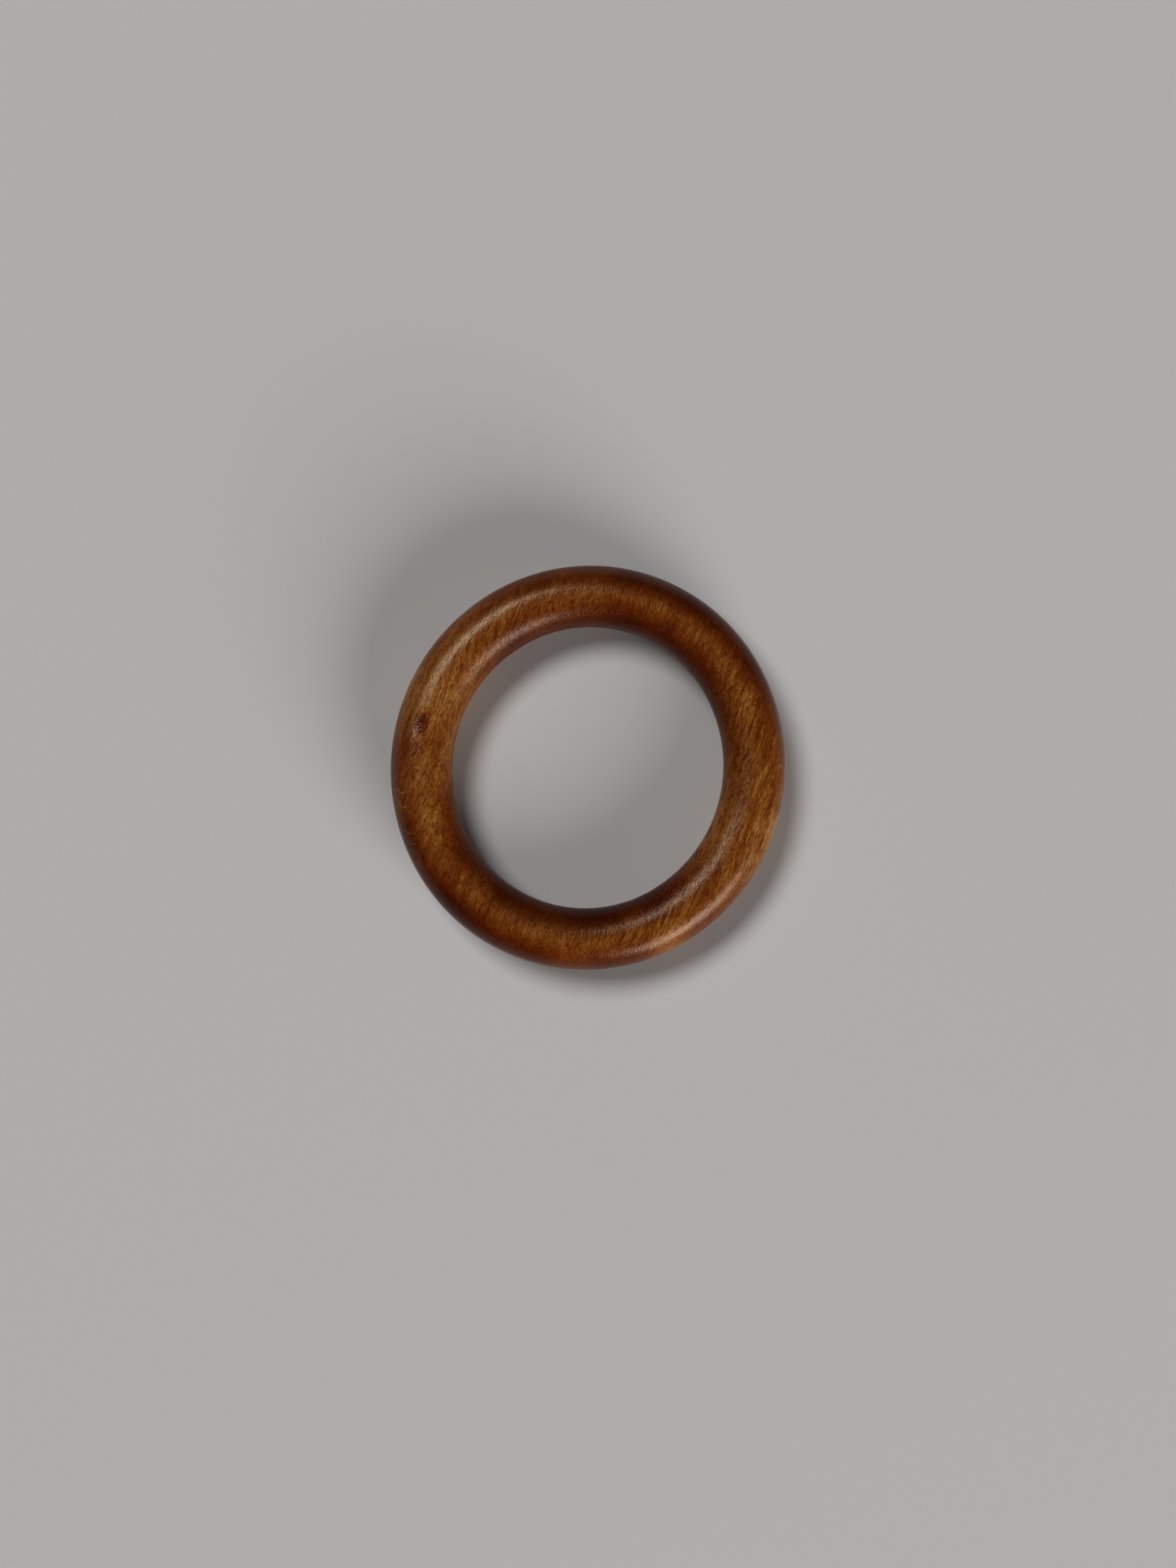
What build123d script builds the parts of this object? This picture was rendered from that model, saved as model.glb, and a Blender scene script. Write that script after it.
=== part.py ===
# Wooden curtain ring: one turned piece of beech with a round section.
# It was turned to a true circle. Drying has since drawn it in across the grain, so it is slightly oval.
# The origin is the ring's centre. X runs along the grain, Y across it and Z along the ring's axis.

import math
import os

from build123d import *

# Driving dimensions, in millimetres. The bore is what decides which pole the ring fits.
bore_along_grain = 39.0
bore_across_grain = 37.4
section_diameter = 8.5

# Half-axes of the oval that the middle of the section follows
half_length = (bore_along_grain + section_diameter) / 2
half_width = (bore_across_grain + section_diameter) / 2

# Four arcs make this oval. Each is a quarter turn and runs into the next without a kink.
# The end arcs have their centres on X and the side arcs theirs on Y, all equally far from the origin.
centre_shift = (half_length - half_width) / (2 - math.sqrt(2))
end_radius = half_length - centre_shift
side_radius = half_width + centre_shift
quarter_turn = 90
first_start = -quarter_turn / 2

with BuildPart() as ring:
    with BuildLine() as centre_line:
        CenterArc((centre_shift, 0), end_radius, first_start, quarter_turn)
        CenterArc((0, -centre_shift), side_radius, first_start + quarter_turn, quarter_turn)
        CenterArc((-centre_shift, 0), end_radius, first_start + 2 * quarter_turn, quarter_turn)
        CenterArc((0, centre_shift), side_radius, first_start + 3 * quarter_turn, quarter_turn)
    with BuildSketch(Plane(centre_line.line @ 0, z_dir=centre_line.line % 0)) as section:
        Circle(section_diameter / 2)
    sweep()

ring.part.label = "ring"
os.makedirs("parts", exist_ok=True)
export_step(ring.part, "parts/ring.step")
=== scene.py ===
# A turned curtain ring in stained beech under a thin satin varnish, lying flat on a pale floor.
# X runs along the grain, Y across it and Z up along the ring's axis.
# Sizes are in metres, or in millimetres where a note says so.
import math

import bmesh
import bpy
from mathutils import Matrix, Vector, noise


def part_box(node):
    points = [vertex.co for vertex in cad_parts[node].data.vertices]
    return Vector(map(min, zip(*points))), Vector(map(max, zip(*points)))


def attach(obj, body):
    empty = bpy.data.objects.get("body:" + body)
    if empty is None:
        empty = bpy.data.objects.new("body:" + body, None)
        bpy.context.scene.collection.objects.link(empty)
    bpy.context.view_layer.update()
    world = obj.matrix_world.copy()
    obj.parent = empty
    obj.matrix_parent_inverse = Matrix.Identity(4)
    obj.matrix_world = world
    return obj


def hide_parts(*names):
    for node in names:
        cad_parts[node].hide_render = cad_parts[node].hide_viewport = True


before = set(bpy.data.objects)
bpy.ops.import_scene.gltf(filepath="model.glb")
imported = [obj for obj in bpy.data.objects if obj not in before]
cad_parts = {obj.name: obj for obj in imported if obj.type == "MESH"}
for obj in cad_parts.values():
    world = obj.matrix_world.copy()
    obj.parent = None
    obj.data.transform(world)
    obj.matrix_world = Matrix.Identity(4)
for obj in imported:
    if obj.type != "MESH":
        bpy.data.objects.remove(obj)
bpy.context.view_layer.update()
mm = 0.001
scene = bpy.context.scene
ringLow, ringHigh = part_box("ring")
floorHeight = ringLow[2]
print("frame loaded")


# sRGB hex to linear, with full alpha
def linearFromHex(hexColour):
    channels = [int(hexColour[i:i + 2], 16) / 255 for i in (1, 3, 5)]
    return [c / 12.92 if c <= 0.04045 else ((c + 0.055) / 1.055) ** 2.4 for c in channels] + [1.0]


# Adds a node with its settings. Inputs are linked to a socket or set to a value.
def addNode(tree, kind, settings=None, inputs=None):
    node = tree.nodes.new("ShaderNode" + kind)
    for name, value in (settings or {}).items():
        setattr(node, name, value)
    for name, value in (inputs or {}).items():
        if isinstance(value, bpy.types.NodeSocket):
            tree.links.new(value, node.inputs[name])
        else:
            node.inputs[name].default_value = value
    return node


def newMaterial(name):
    material = bpy.data.materials.new(name)
    material.use_nodes = True
    material.node_tree.nodes.clear()
    return material, material.node_tree


def newPiece(name, bm):
    mesh = bpy.data.meshes.new(name)
    bm.to_mesh(mesh)
    bm.free()
    piece = bpy.data.objects.new(name, mesh)
    scene.collection.objects.link(piece)
    return piece


# The grain leans a little from the long axis of the oval, and parts round two pin knots.
# Knots run through the ring from face to face. Sizes are in millimetres.
grainLean = Matrix.Rotation(math.radians(5), 3, "Z")
knotSets = [
    {"place": Vector((-0.5, 23.4, 0)), "radius": 0.95, "bowReach": (2.6, 1.5),
     "sunk": 0.16, "strength": 1.0},
    {"place": Vector((-15.2, 17.1, 0)), "radius": 0.30, "bowReach": (1.2, 0.7),
     "sunk": 0.03, "strength": 0.4},
]

# The ring: a circle spun round the arcs of the oval, as drying has left it, then sanded by hand
ringSet = {
    "facetsRound": 150,  # round the section
    "stepsPerArc": 75,  # along each eighth of the oval
    "eighth": math.radians(45),
    "weld": 0.001 * mm,  # points closer than this are merged
    "skin": 0.004,  # relief, in millimetres, starting with what sanding took off everywhere
    "sandingSize": 7.0,
    "sandingDepth": 0.06,
    "furrowSize": (9.0, 0.9, 0.9),
    "furrowDepth": 0.03,
    "knotHollow": 1.6,  # reach of the hollow over a knot, in the knot's radii
}


# Relief goes inwards only: soft hollows from sanding, shallow furrows along the grain and the sunk knots
def relieveRing(bm):
    bm.normal_update()
    furrow = ringSet["furrowSize"]
    for vert in bm.verts:
        spot = vert.co / mm
        along = grainLean @ spot
        sanded = max(0, noise.noise(spot / ringSet["sandingSize"])) ** 2
        furrowSpot = Vector((along.x / furrow[0], along.y / furrow[1], along.z / furrow[2]))
        furrowed = max(0, noise.noise(furrowSpot)) ** 2
        depth = ringSet["skin"] + sanded * ringSet["sandingDepth"] + furrowed * ringSet["furrowDepth"]
        for knot in knotSets:
            fromKnot = (spot - knot["place"]).xy.length / (ringSet["knotHollow"] * knot["radius"])
            depth += knot["sunk"] * math.exp(-fromKnot ** 2)
        vert.co -= vert.normal * depth * mm


def buildRing():
    section = ringHigh[2] - ringLow[2]
    halfLength = (ringHigh[0] - ringLow[0] - section) / 2
    halfWidth = (ringHigh[1] - ringLow[1] - section) / 2
    centreShift = (halfLength - halfWidth) / (2 - math.sqrt(2))

    # a quarter of the ring, then its mirror images
    bm = bmesh.new()
    upright = Matrix.Rotation(math.radians(90), 4, "X")
    circle = bmesh.ops.create_circle(bm, segments=ringSet["facetsRound"], radius=section / 2,
                                     matrix=Matrix.Translation((halfLength, 0, 0)) @ upright)
    outline = list({edge for vert in circle["verts"] for edge in vert.link_edges})
    for centre in ((centreShift, 0, 0), (0, -centreShift, 0)):
        swept = bmesh.ops.spin(bm, geom=outline, cent=centre, axis=(0, 0, 1), angle=ringSet["eighth"],
                               steps=ringSet["stepsPerArc"])
        outline = [part for part in swept["geom_last"] if isinstance(part, bmesh.types.BMEdge)]
    bmesh.ops.remove_doubles(bm, verts=bm.verts, dist=ringSet["weld"])
    for axis in ("X", "Y"):
        everything = list(bm.verts) + list(bm.edges) + list(bm.faces)
        bmesh.ops.mirror(bm, geom=everything, matrix=Matrix(), merge_dist=ringSet["weld"], axis=axis)
    bmesh.ops.recalc_face_normals(bm, faces=bm.faces)
    relieveRing(bm)
    for face in bm.faces:
        face.smooth = True
    return newPiece("ringBody", bm)


# Beech, stained walnut brown by wiping, then varnished thinly and sanded. The stain lies deeper and darker
# in the ray flecks and where fibres are cut across, and thin and golden on the crown, where the paler colour
# also stands in for the wood's golden lustre, a painted sheen. Some patches paint in shade, light and
# highlights. The varnish follows the raised fibres, so that its shine breaks into fine sparkles. Sizes are
# in millimetres.
beechSet = {
    "stain": "#A57036",  # at depth 1. Deeper stain is this colour times itself.
    "baseDepth": 0.92,
    # sizes of the patterns, along the grain first. Real fibres and pores are about 0.05 mm wide. They are
    # drawn coarser here, so that they show.
    "strand": (8.0, 0.70, 0.70),
    "fibre": (3.0, 0.24, 0.24),
    "line": (3.0, 0.45, 0.45),
    "pore": (0.8, 0.12, 0.12),
    "mottle": (0.45, 0.30, 0.30),
    "growth": (90, 3.2, 5.0),
    "blotch": (9, 5, 5),
    "fleck": (4.8, 0.30, 5.0),
    "smallFleck": (1.8, 0.26, 4.0),
    "fuzz": (0.7, 0.18, 0.18),
    "grit": (0.2, 0.16, 0.16),
    "wander": (15, 15, 15),
    "wanderReach": 1.0,
    "wanderDetail": 1.0,
    "noiseDetail": {"strand": 2.0, "fibre": 2.0, "line": 1.0, "pore": 1.0, "mottle": 1.0, "growth": 2.0,
                    "blotch": 3.0, "fuzz": 1.0, "grit": 1.0},
    "strandDepth": -1.0,  # changes in the stain's depth
    "fibreDepth": -0.7,
    "lineDepth": 0.45,
    "poreDepth": -0.9,
    "mottleDepth": -0.6,
    "growthDepth": 0.6,
    "blotchDepth": 0.5,
    "fleckDepth": 0.85,
    "smallFleckDepth": 0.4,
    # deeper stain where fibres are cut across; the paler long grain left elsewhere is partly a painted sheen
    "cutDepth": 1.45,
    "heartDepth": 0.10,  # a darker layer of wood along the middle of the ring
    "knotDepth": 0.70,
    "lineWidth": 0.06,  # share of the noise's range
    "fleckPlace": (-6, -22, 0),  # flecks are strong here and faint beyond their reach
    "fleckReach": (12, 30),
    "fleckFaint": 0.15,
    "fleckLens": (0.20, 0.36),  # a lens fades between these shares of its cell
    "fleckChance": (0.50, 0.70),  # cells below the first have none, and above the second a full one
    "smallFleckChance": (0.4, 1.0),
    "cutSoftness": 0.11,
    "cutFade": 0.7,  # of the fine patterns, where fibres are cut across
    "heartReach": (5, 17),
    "heartPlace": 3,
    "knotNarrow": 0.7,  # a knot's width as a share of its length along the grain
    "knotEdge": (0.5, 1.3),  # a knot fades between these, in its radii
    "knotWrinkle": 0.35,
    "wrinkleScale": 1.2,  # wrinkles to a knot's radius
    "wrinkleDetail": 3.0,
    "knotBow": 0.7,
    "fuzzHeight": 0.03,  # of the varnished surface
    "gritHeight": 0.011,
    "fibreHeight": 0.02,
    "fleckHeight": -0.006,
    "lineHeight": -0.006,
    "knotHeight": 0.06,
    "nickHeight": 0.02,
    "buffedFrom": (20.0, 24.0),  # the varnish is buffed more and more between these distances from the axis
    "buffedRoughness": (0.19, 0.23),
    "buffedFuzz": (1.05, 0.85),
    "buffedDry": (0.24, 0.0),  # roughness added in dry spots, where the wood drank the varnish
    "dryFrom": (0.30, 0.70),
    "raisedPlace": (-7.0, 23.5, 2),  # where the grain has risen beside the knot
    "raisedReach": 7,
    "raisedFuzz": 2.0,
    "varnishIor": 1.5,
    "varnishLevel": 0.43,
    "varnishTint": "#FFF0DC",
}

# Where the wiped stain has pooled, or has been rubbed thin or chipped off. Some patches are only made darker
# or lighter, and those named so paint in light and shade: painted shade, painted light and painted
# highlights.
patchSets = [
    # painted shade: the outer wall down left and low on the left edge is turned from both lamps and made
    # darker
    {"name": "painted shade, outer wall, lower left", "place": (-24.0, 13.3, 0), "reach": 7, "depth": 0.55},
    {"name": "painted shade, left edge, low", "place": (-17.6, 21.8, 0), "reach": 5.5, "depth": 0.35},
    # made darker along the left edge
    {"name": "darker, left edge", "place": (-6.3, 27.3, 0), "reach": 9.5, "depth": 0.45},
    # made darker on the inner wall, from lower right to bottom
    {"name": "darker, inner wall, lower right", "place": (-14.4, -13.1, 0), "reach": 5.5, "depth": 0.80},
    {"name": "darker, inner wall, right", "place": (-10.5, -16.8, 0), "reach": 4, "depth": 0.32},
    {"name": "darker, inner wall, bottom", "place": (-16.8, -6.0, 0), "reach": 6.5, "depth": 0.95},
    # painted shade: the inner wall up left, which faces the low lamp, is made darker
    {"name": "painted shade, inner wall, upper left", "place": (12.6, 14.0, 0), "reach": 7, "depth": 0.25},
    {"name": "pooled, inner wall, top", "place": (19.5, 0.3, 0), "reach": 4, "depth": 0.20},
    # painted shade: the outer wall on the right and top right is turned from both lamps and made darker
    {"name": "painted shade, outer wall, right", "place": (21.2, -20.5, 0), "reach": 7, "depth": 0.75},
    {"name": "painted shade, outer wall, top right", "place": (27.9, -9.6, 0), "reach": 5.5, "depth": 0.40},
    # painted light: the outer wall down right faces the low lamp and is made paler
    {"name": "painted light, outer wall, lower right", "place": (-22.5, -19.9, 0), "reach": 7.5, "depth": -1.05},
    {"name": "rubbed, outer wall, upper left", "place": (17.0, 21.0, 0), "reach": 8, "depth": -0.14},
    {"name": "rubbed, outer wall, bottom", "place": (-28.5, -5.5, 0), "reach": 6, "depth": -0.40},
    {"name": "rubbed, outer wall, right", "place": (-1.0, -27.7, 0), "reach": 7, "depth": -0.22},
    # painted light: light bounced from the floor, painted paler on the inner wall at the left and lower left
    {"name": "painted light, inner wall, left", "place": (-4.9, 19.4, 0), "reach": 6, "depth": -0.30},
    {"name": "painted light, inner wall, lower left", "place": (-11.5, 15.8, 0), "reach": 6, "depth": -0.20},
    {"name": "rubbed, crown, upper right", "place": (17.9, -17.3, 0), "reach": 4.5, "depth": -0.08},
    # painted highlight: the shine on the inner side of the crown, carried on round the bottom and lower left
    # as paler colour
    {"name": "painted highlight, crown, bottom", "place": (-22.1, 2.8, 0), "reach": 5, "depth": -0.20},
    {"name": "painted highlight, crown, lower left", "place": (-20.0, 9.8, 0), "reach": 4.5, "depth": -0.25},
    {"name": "rubbed, crown, left", "place": (3.0, 23.3, 0), "reach": 6, "depth": -0.14},
    {"name": "rubbed, crown, upper left", "place": (6.2, 21.7, 0), "reach": 4.5, "depth": -0.15},
    {"name": "rubbed, left", "place": (-9.2, 20.6, 0), "reach": 6, "depth": -0.08},
    {"name": "rubbed, top", "place": (24.7, 9.5, 0), "reach": 7, "depth": -0.15},
    {"name": "chip, right edge", "place": (7.45, -25.3, 0), "reach": 0.22, "depth": -0.5},
    {"name": "chip, inner wall", "place": (-18.3, 9.4, 0), "reach": 0.25, "depth": -0.6},
]

# Curved nicks on the left of the outer wall, each part of a small circle on the surface. The bump gives each
# its edge, and its pale colour is a painted glint, where the light catches it.
nickGlintSets = [
    {"place": (-9.3, 23.8, 3.4), "radius": 1.1, "depth": -0.80},
    {"place": (-11.0, 23.0, 3.5), "radius": 1.2, "depth": -0.45},
    {"place": (-14.5, 21.3, 3.4), "radius": 1.0, "depth": -0.80},
    {"place": (-15.6, 20.4, 3.4), "radius": 1.1, "depth": -0.60},
]
nickWidth = 0.18
nickWay = Vector((-1, 0.25, 0))  # the side of the circle that is cut
nickEnd = (0.3, 0.9)  # the cut fades in between these shares of its radius along nickWay

noiseMiddle = 0.5
smoothStep = {"interpolation_type": "SMOOTHSTEP"}
fadeOut = {"To Min": 1.0, "To Max": 0.0}
levelOnly = (1, 1, 0)  # drops the height


# The grain parts round the knots and wanders. Gives the grain's own millimetres and the knots' share.
def layGrain(tree, inMm):
    knotShare = 0.0
    parted = inMm
    for knot in knotSets:
        fromKnot = addNode(tree, "VectorMath", {"operation": "SUBTRACT"}, {
            0: inMm, 1: grainLean @ knot["place"]})
        bowShare = addNode(tree, "VectorMath", {"operation": "MULTIPLY"}, {
            0: fromKnot.outputs[0], 1: (1 / knot["bowReach"][0], 1 / knot["bowReach"][1], 0)})
        bowSquare = addNode(tree, "VectorMath", {"operation": "DOT_PRODUCT"}, {
            0: bowShare.outputs[0], 1: bowShare.outputs[0]})
        bowFall = addNode(tree, "Math", {"operation": "MULTIPLY"}, {0: bowSquare.outputs["Value"], 1: -1.0})
        bowNear = addNode(tree, "Math", {"operation": "EXPONENT"}, {0: bowFall.outputs[0]})
        bowWay = addNode(tree, "VectorMath", {"operation": "MULTIPLY"}, {
            0: fromKnot.outputs[0], 1: (0, beechSet["knotBow"], 0)})
        bow = addNode(tree, "VectorMath", {"operation": "SCALE"}, {
            0: bowWay.outputs[0], "Scale": bowNear.outputs[0]})
        parted = addNode(tree, "VectorMath", {"operation": "SUBTRACT"}, {
            0: parted, 1: bow.outputs[0]}).outputs[0]

        # the knot itself, with a wrinkled rim
        inRadii = addNode(tree, "VectorMath", {"operation": "MULTIPLY"}, {
            0: fromKnot.outputs[0], 1: (beechSet["knotNarrow"] / knot["radius"], 1 / knot["radius"], 0)})
        away = addNode(tree, "VectorMath", {"operation": "LENGTH"}, {0: inRadii.outputs[0]})
        wrinkle = addNode(tree, "TexNoise", inputs={
            "Vector": inRadii.outputs[0], "Scale": beechSet["wrinkleScale"],
            "Detail": beechSet["wrinkleDetail"]})
        rim = addNode(tree, "Math", {"operation": "MULTIPLY_ADD"}, {
            0: wrinkle.outputs["Fac"], 1: 2 * beechSet["knotWrinkle"], 2: away.outputs["Value"]})
        core = addNode(tree, "MapRange", smoothStep, {
            "Value": rim.outputs[0], "From Min": beechSet["knotEdge"][0] + beechSet["knotWrinkle"],
            "From Max": beechSet["knotEdge"][1] + beechSet["knotWrinkle"], **fadeOut})
        knotShare = addNode(tree, "Math", {"operation": "MULTIPLY_ADD"}, {
            0: core.outputs[0], 1: knot["strength"], 2: knotShare}).outputs[0]

    wanderSpot = addNode(tree, "VectorMath", {"operation": "DIVIDE"}, {0: parted, 1: beechSet["wander"]})
    wander = addNode(tree, "TexNoise", inputs={
        "Vector": wanderSpot.outputs[0], "Scale": 1.0, "Detail": beechSet["wanderDetail"]})
    wanderMid = addNode(tree, "VectorMath", {"operation": "SUBTRACT"}, {
        0: wander.outputs["Color"], 1: (noiseMiddle, noiseMiddle, noiseMiddle)})
    wanderWay = addNode(tree, "VectorMath", {"operation": "MULTIPLY"}, {
        0: wanderMid.outputs[0], 1: (0, 2 * beechSet["wanderReach"], 2 * beechSet["wanderReach"])})
    grain = addNode(tree, "VectorMath", {"operation": "ADD"}, {0: parted, 1: wanderWay.outputs[0]})
    return grain.outputs[0], knotShare


# Each pattern reads the grain's own millimetres, divided by its size. Gives the share of each, by name.
def growPatterns(tree, inMm, grain, normal):
    spots = {}
    for pattern in ("strand", "fibre", "line", "pore", "mottle", "growth", "blotch", "fleck", "smallFleck",
                    "fuzz", "grit"):
        spots[pattern] = addNode(tree, "VectorMath", {"operation": "DIVIDE"}, {
            0: grain, 1: beechSet[pattern]}).outputs[0]
    shares = {}
    for pattern, detail in beechSet["noiseDetail"].items():
        shares[pattern] = addNode(tree, "TexNoise", inputs={
            "Vector": spots[pattern], "Scale": 1.0, "Detail": detail}).outputs["Fac"]

    # thin dark lines run where their noise passes through its middle
    offMiddle = addNode(tree, "Math", {"operation": "SUBTRACT"}, {0: shares["line"], 1: noiseMiddle})
    fromLine = addNode(tree, "Math", {"operation": "ABSOLUTE"}, {0: offMiddle.outputs[0]})
    shares["line"] = addNode(tree, "MapRange", smoothStep, {
        "Value": fromLine.outputs[0], "From Max": beechSet["lineWidth"], **fadeOut}).outputs[0]

    # ray flecks: long thin lenses, some strong and some faint
    fromFlecks = addNode(tree, "VectorMath", {"operation": "DISTANCE"}, {
        0: inMm, 1: grainLean @ Vector(beechSet["fleckPlace"])})
    fleckNear = addNode(tree, "MapRange", smoothStep, {
        "Value": fromFlecks.outputs["Value"], "From Min": beechSet["fleckReach"][0],
        "From Max": beechSet["fleckReach"][1], "To Min": 1.0, "To Max": beechSet["fleckFaint"]})
    for pattern in ("fleck", "smallFleck"):
        cells = addNode(tree, "TexVoronoi", inputs={"Vector": spots[pattern], "Scale": 1.0})
        lens = addNode(tree, "MapRange", smoothStep, {
            "Value": cells.outputs["Distance"], "From Min": beechSet["fleckLens"][0],
            "From Max": beechSet["fleckLens"][1], **fadeOut})
        chance = addNode(tree, "SeparateColor", inputs={0: cells.outputs["Color"]})
        weight = addNode(tree, "MapRange", inputs={
            "Value": chance.outputs[0], "From Min": beechSet[pattern + "Chance"][0],
            "From Max": beechSet[pattern + "Chance"][1]})
        marked = addNode(tree, "Math", {"operation": "MULTIPLY"}, {0: lens.outputs[0], 1: weight.outputs[0]})
        shares[pattern] = addNode(tree, "Math", {"operation": "MULTIPLY"}, {
            0: marked.outputs[0], 1: fleckNear.outputs[0]}).outputs[0]

    # fibres are cut across where the surface turns to face along the grain, and the stain lies deeper there.
    # The paler long grain elsewhere, golden on the crown, also stands in for the wood's lustre, a painted
    # sheen.
    facing = addNode(tree, "VectorMath", {"operation": "DOT_PRODUCT"}, {
        0: normal, 1: grainLean.transposed() @ Vector((1, 0, 0))})
    facingSquare = addNode(tree, "Math", {"operation": "MULTIPLY_ADD"}, {
        0: facing.outputs["Value"], 1: facing.outputs["Value"], 2: beechSet["cutSoftness"] ** 2})
    shares["cut"] = addNode(tree, "Math", {"operation": "SQRT"}, {0: facingSquare.outputs[0]}).outputs[0]

    # the heart layer
    across = addNode(tree, "SeparateXYZ", inputs={0: grain})
    fromHeart = addNode(tree, "Math", {"operation": "SUBTRACT"}, {
        0: across.outputs["Y"], 1: beechSet["heartPlace"]})
    heartAway = addNode(tree, "Math", {"operation": "ABSOLUTE"}, {0: fromHeart.outputs[0]})
    shares["heart"] = addNode(tree, "MapRange", smoothStep, {
        "Value": heartAway.outputs[0], "From Min": beechSet["heartReach"][0],
        "From Max": beechSet["heartReach"][1], **fadeOut}).outputs[0]
    return shares


# The stain's depth is a sum of patterns and patches, some of which are painted shade, painted light and
# painted highlights. Noise counts from its middle.
def wipeStain(tree, grain, shares):
    fineNoises = ("strand", "fibre", "pore", "mottle")
    broadNoises = ("growth", "blotch")
    fine = -noiseMiddle * sum(beechSet[pattern + "Depth"] for pattern in fineNoises)
    for pattern in fineNoises + ("line", "fleck", "smallFleck"):
        fine = addNode(tree, "Math", {"operation": "MULTIPLY_ADD"}, {
            0: shares[pattern], 1: beechSet[pattern + "Depth"], 2: fine}).outputs[0]
    fade = addNode(tree, "Math", {"operation": "MULTIPLY_ADD"}, {
        0: shares["cut"], 1: -beechSet["cutFade"], 2: 1.0})
    broadMiddle = noiseMiddle * sum(beechSet[pattern + "Depth"] for pattern in broadNoises)
    depth = addNode(tree, "Math", {"operation": "MULTIPLY_ADD"}, {
        0: fine, 1: fade.outputs[0], 2: beechSet["baseDepth"] - broadMiddle}).outputs[0]
    for pattern in broadNoises + ("cut", "heart", "knot"):
        depth = addNode(tree, "Math", {"operation": "MULTIPLY_ADD"}, {
            0: shares[pattern], 1: beechSet[pattern + "Depth"], 2: depth}).outputs[0]
    for patch in patchSets:
        fromPatch = addNode(tree, "VectorMath", {"operation": "SUBTRACT"}, {
            0: grain, 1: grainLean @ Vector(patch["place"])})
        level = addNode(tree, "VectorMath", {"operation": "MULTIPLY"}, {
            0: fromPatch.outputs[0], 1: levelOnly})
        away = addNode(tree, "VectorMath", {"operation": "LENGTH"}, {0: level.outputs[0]})
        share = addNode(tree, "MapRange", smoothStep, {
            "Value": away.outputs["Value"], "From Max": patch["reach"], **fadeOut})
        depth = addNode(tree, "Math", {"operation": "MULTIPLY_ADD"}, {
            0: share.outputs[0], 1: patch["depth"], 2: depth}).outputs[0]
    return depth


# Gives the stain's depth with the nicks' painted glints taken out of it, which makes them paler, and the
# nicks' own share
def nickAndGlintWood(tree, inMm, depth):
    nicked = 0.0
    for nick in nickGlintSets:
        fromNick = addNode(tree, "VectorMath", {"operation": "SUBTRACT"}, {
            0: inMm, 1: grainLean @ Vector(nick["place"])})
        away = addNode(tree, "VectorMath", {"operation": "LENGTH"}, {0: fromNick.outputs[0]})
        offCircle = addNode(tree, "Math", {"operation": "SUBTRACT"}, {
            0: away.outputs["Value"], 1: nick["radius"]})
        offLine = addNode(tree, "Math", {"operation": "ABSOLUTE"}, {0: offCircle.outputs[0]})
        line = addNode(tree, "MapRange", smoothStep, {
            "Value": offLine.outputs[0], "From Max": nickWidth, **fadeOut})
        alongWay = addNode(tree, "VectorMath", {"operation": "DOT_PRODUCT"}, {
            0: fromNick.outputs[0], 1: grainLean @ nickWay})
        end = addNode(tree, "MapRange", smoothStep, {
            "Value": alongWay.outputs["Value"], "From Min": nickEnd[0] * nick["radius"],
            "From Max": nickEnd[1] * nick["radius"]})
        share = addNode(tree, "Math", {"operation": "MULTIPLY"}, {0: line.outputs[0], 1: end.outputs[0]})
        # painted glint: each nick's line is made paler
        depth = addNode(tree, "Math", {"operation": "MULTIPLY_ADD"}, {
            0: share.outputs[0], 1: nick["depth"], 2: depth}).outputs[0]
        nicked = addNode(tree, "Math", {"operation": "MAXIMUM"}, {0: share.outputs[0], 1: nicked}).outputs[0]
    return depth, nicked


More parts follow.
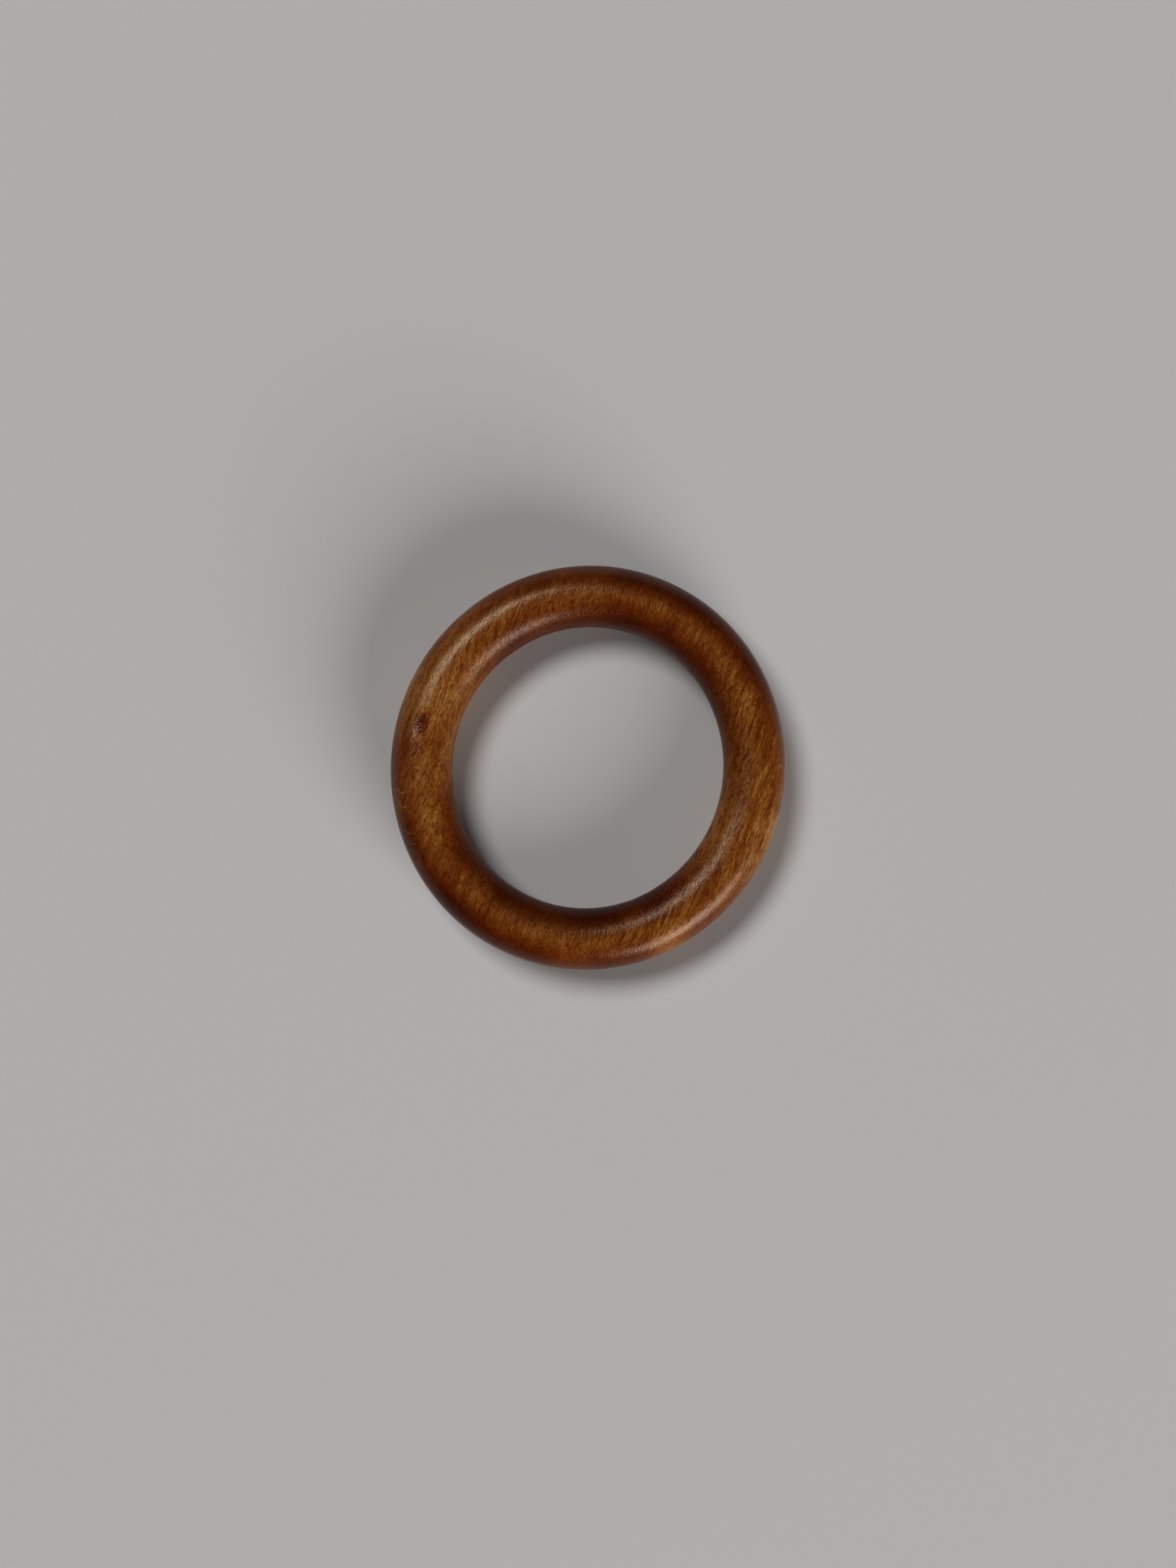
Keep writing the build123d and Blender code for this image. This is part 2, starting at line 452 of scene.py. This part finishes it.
# The outside was buffed, and the inside less. Gives the varnish's roughness and its bumped normal.
def brushVarnish(tree, inMm, shares):
    fromAxis = addNode(tree, "VectorMath", {"operation": "MULTIPLY"}, {0: inMm, 1: levelOnly})
    axisAway = addNode(tree, "VectorMath", {"operation": "LENGTH"}, {0: fromAxis.outputs[0]})
    buffed = {}
    for pattern in ("buffedRoughness", "buffedFuzz", "buffedDry"):
        buffed[pattern] = addNode(tree, "MapRange", smoothStep, {
            "Value": axisAway.outputs["Value"], "From Min": beechSet["buffedFrom"][0],
            "From Max": beechSet["buffedFrom"][1], "To Min": beechSet[pattern][0],
            "To Max": beechSet[pattern][1]}).outputs[0]
    dry = addNode(tree, "MapRange", smoothStep, {
        "Value": shares["mottle"], "From Min": beechSet["dryFrom"][0], "From Max": beechSet["dryFrom"][1]})
    roughness = addNode(tree, "Math", {"operation": "MULTIPLY_ADD"}, {
        0: dry.outputs[0], 1: buffed["buffedDry"], 2: buffed["buffedRoughness"]})

    # fibres stand up more where the grain has risen
    fromRaised = addNode(tree, "VectorMath", {"operation": "DISTANCE"}, {
        0: inMm, 1: grainLean @ Vector(beechSet["raisedPlace"])})
    raised = addNode(tree, "MapRange", smoothStep, {
        "Value": fromRaised.outputs["Value"], "From Max": beechSet["raisedReach"],
        "To Min": beechSet["raisedFuzz"], "To Max": 0.0})
    rough = addNode(tree, "Math", {"operation": "ADD"}, {0: buffed["buffedFuzz"], 1: raised.outputs[0]})
    fuzz = addNode(tree, "Math", {"operation": "MULTIPLY"}, {0: shares["fuzz"], 1: rough.outputs[0]})
    wrinkles = addNode(tree, "Math", {"operation": "MULTIPLY"}, {0: shares["knot"], 1: shares["mottle"]})

    raisedShares = {**shares, "fuzz": fuzz.outputs[0], "knot": wrinkles.outputs[0]}
    height = 0.0
    for pattern in ("fuzz", "grit", "fibre", "line", "fleck", "knot", "nick"):
        height = addNode(tree, "Math", {"operation": "MULTIPLY_ADD"}, {
            0: raisedShares[pattern], 1: beechSet[pattern + "Height"], 2: height}).outputs[0]
    bump = addNode(tree, "Bump", inputs={"Strength": 1.0, "Distance": mm, "Height": height})
    return roughness.outputs[0], bump.outputs[0]


def stainedBeech():
    material, tree = newMaterial("stained beech, satin varnish")
    place = addNode(tree, "TexCoord")
    inMm = addNode(tree, "Mapping", inputs={
        "Vector": place.outputs["Object"], "Scale": (1 / mm, 1 / mm, 1 / mm),
        "Rotation": grainLean.to_euler()}).outputs[0]
    grain, knotShare = layGrain(tree, inMm)
    shares = growPatterns(tree, inMm, grain, place.outputs["Normal"])
    shares["knot"] = knotShare
    depth, shares["nick"] = nickAndGlintWood(tree, inMm, wipeStain(tree, grain, shares))
    colour = addNode(tree, "Gamma", inputs={"Color": linearFromHex(beechSet["stain"]), "Gamma": depth})
    roughness, bumped = brushVarnish(tree, inMm, shares)
    shader = addNode(tree, "BsdfPrincipled", inputs={
        "Base Color": colour.outputs[0], "Roughness": roughness, "Normal": bumped,
        "IOR": beechSet["varnishIor"], "Specular IOR Level": beechSet["varnishLevel"],
        "Specular Tint": linearFromHex(beechSet["varnishTint"])})
    addNode(tree, "OutputMaterial", inputs={"Surface": shader.outputs["BSDF"]})
    print("beech stained and varnished,", len(tree.nodes), "nodes")
    return material


# The floor: matt white card. Its pressed fibres scatter light, so it looks evenly pale and has no shine.
floorSet = {"radius": 1.3, "facets": 180, "colour": "#E0DFDD", "roughness": 0.9, "specularLevel": 0.2}


def buildFloor():
    bm = bmesh.new()
    bmesh.ops.create_circle(bm, cap_ends=True, segments=floorSet["facets"], radius=floorSet["radius"],
                            matrix=Matrix.Translation((0, 0, floorHeight)))
    floor = newPiece("floor", bm)
    material, tree = newMaterial("matt white card")
    shader = addNode(tree, "BsdfPrincipled", inputs={
        "Base Color": linearFromHex(floorSet["colour"]), "Roughness": floorSet["roughness"],
        "Specular IOR Level": floorSet["specularLevel"]})
    addNode(tree, "OutputMaterial", inputs={"Surface": shader.outputs["BSDF"]})
    floor.data.materials.append(material)


# The camera looks straight down, and is turned so that the grain leans as it does in the photograph
cameraSet = {
    "photoWidth": 1659,  # in pixels
    "photoHeight": 2212,
    "ringCentre": (829.2, 1083.0),  # in the photograph's pixels
    "focalPixels": 2856,
    "height": 280 * mm,  # above the middle of the ring
    "grainAngle": math.radians(74),  # of the grain above the picture's level, turned up to the right
    "sensor": 36.0,  # in millimetres
    "clipStart": 5 * mm,
    "viewGamma": 0.77,  # the photograph's contrast
}
pictureTurn = Matrix.Rotation(-cameraSet["grainAngle"], 3, "Z")


def inPicture(right, up):
    return pictureTurn @ Vector((right, up, 0))


def buildCamera():
    data = bpy.data.cameras.new("camera")
    data.sensor_width = cameraSet["sensor"]
    data.lens = cameraSet["sensor"] * cameraSet["focalPixels"] / cameraSet["photoHeight"]
    data.clip_start = cameraSet["clipStart"]
    camera = bpy.data.objects.new("camera", data)
    scene.collection.objects.link(camera)
    pixel = cameraSet["height"] / cameraSet["focalPixels"]
    centreRight = (cameraSet["ringCentre"][0] - cameraSet["photoWidth"] / 2) * pixel
    centreUp = (cameraSet["photoHeight"] / 2 - cameraSet["ringCentre"][1]) * pixel
    camera.location = inPicture(-centreRight, -centreUp) + Vector((0, 0, cameraSet["height"]))
    camera.rotation_euler = pictureTurn.to_euler()
    scene.camera = camera
    scene.view_settings.view_transform = "Standard"
    scene.view_settings.gamma = cameraSet["viewGamma"]


# Two soft lamps on opposite sides: a high one up left and a low one down right. Angles are in degrees,
# in the picture from its right towards its top, and lean is from upright. Power is in watts.
lampSets = [
    {"name": "highLamp", "angle": 133.5, "lean": 37, "distance": 3.0, "size": (1.86, 1.0), "power": 49.5},
    {"name": "lowLamp", "angle": 306, "lean": 71.5, "distance": 2.4, "size": (1.95, 1.25), "power": 47},
]


def buildLamps():
    for lampSet in lampSets:
        data = bpy.data.lights.new(lampSet["name"], "AREA")
        data.shape = "ELLIPSE"
        data.size, data.size_y = lampSet["size"]
        data.energy = lampSet["power"]
        lamp = bpy.data.objects.new(lampSet["name"], data)
        scene.collection.objects.link(lamp)
        angle = math.radians(lampSet["angle"])
        lean = math.radians(lampSet["lean"])
        level = inPicture(math.cos(angle), math.sin(angle)) * math.sin(lean)
        lamp.location = (level + Vector((0, 0, math.cos(lean)))) * lampSet["distance"]
        lamp.rotation_euler = (-lamp.location).to_track_quat("-Z", "Y").to_euler()


# The room lights the ring dimly, but is pale where the camera sees it
roomSet = {"colour": "#FFFFFF", "strength": 0.03, "seenColour": "#BDBCBA"}


def buildRoom():
    world = bpy.data.worlds.new("room")
    scene.world = world
    world.use_nodes = True
    tree = world.node_tree
    tree.nodes.clear()
    room = addNode(tree, "Background", inputs={
        "Color": linearFromHex(roomSet["colour"]), "Strength": roomSet["strength"]})
    seenRoom = addNode(tree, "Background", inputs={"Color": linearFromHex(roomSet["seenColour"])})
    ray = addNode(tree, "LightPath")
    either = addNode(tree, "MixShader", inputs={
        0: ray.outputs["Is Camera Ray"], 1: room.outputs["Background"], 2: seenRoom.outputs["Background"]})
    addNode(tree, "OutputWorld", inputs={"Surface": either.outputs[0]})


ring = buildRing()
ring.data.materials.append(stainedBeech())
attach(ring, "root")
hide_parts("ring")
print("ring built,", len(ring.data.polygons), "faces")

buildFloor()
buildCamera()
buildLamps()
buildRoom()
print("floor, camera and lamps set")
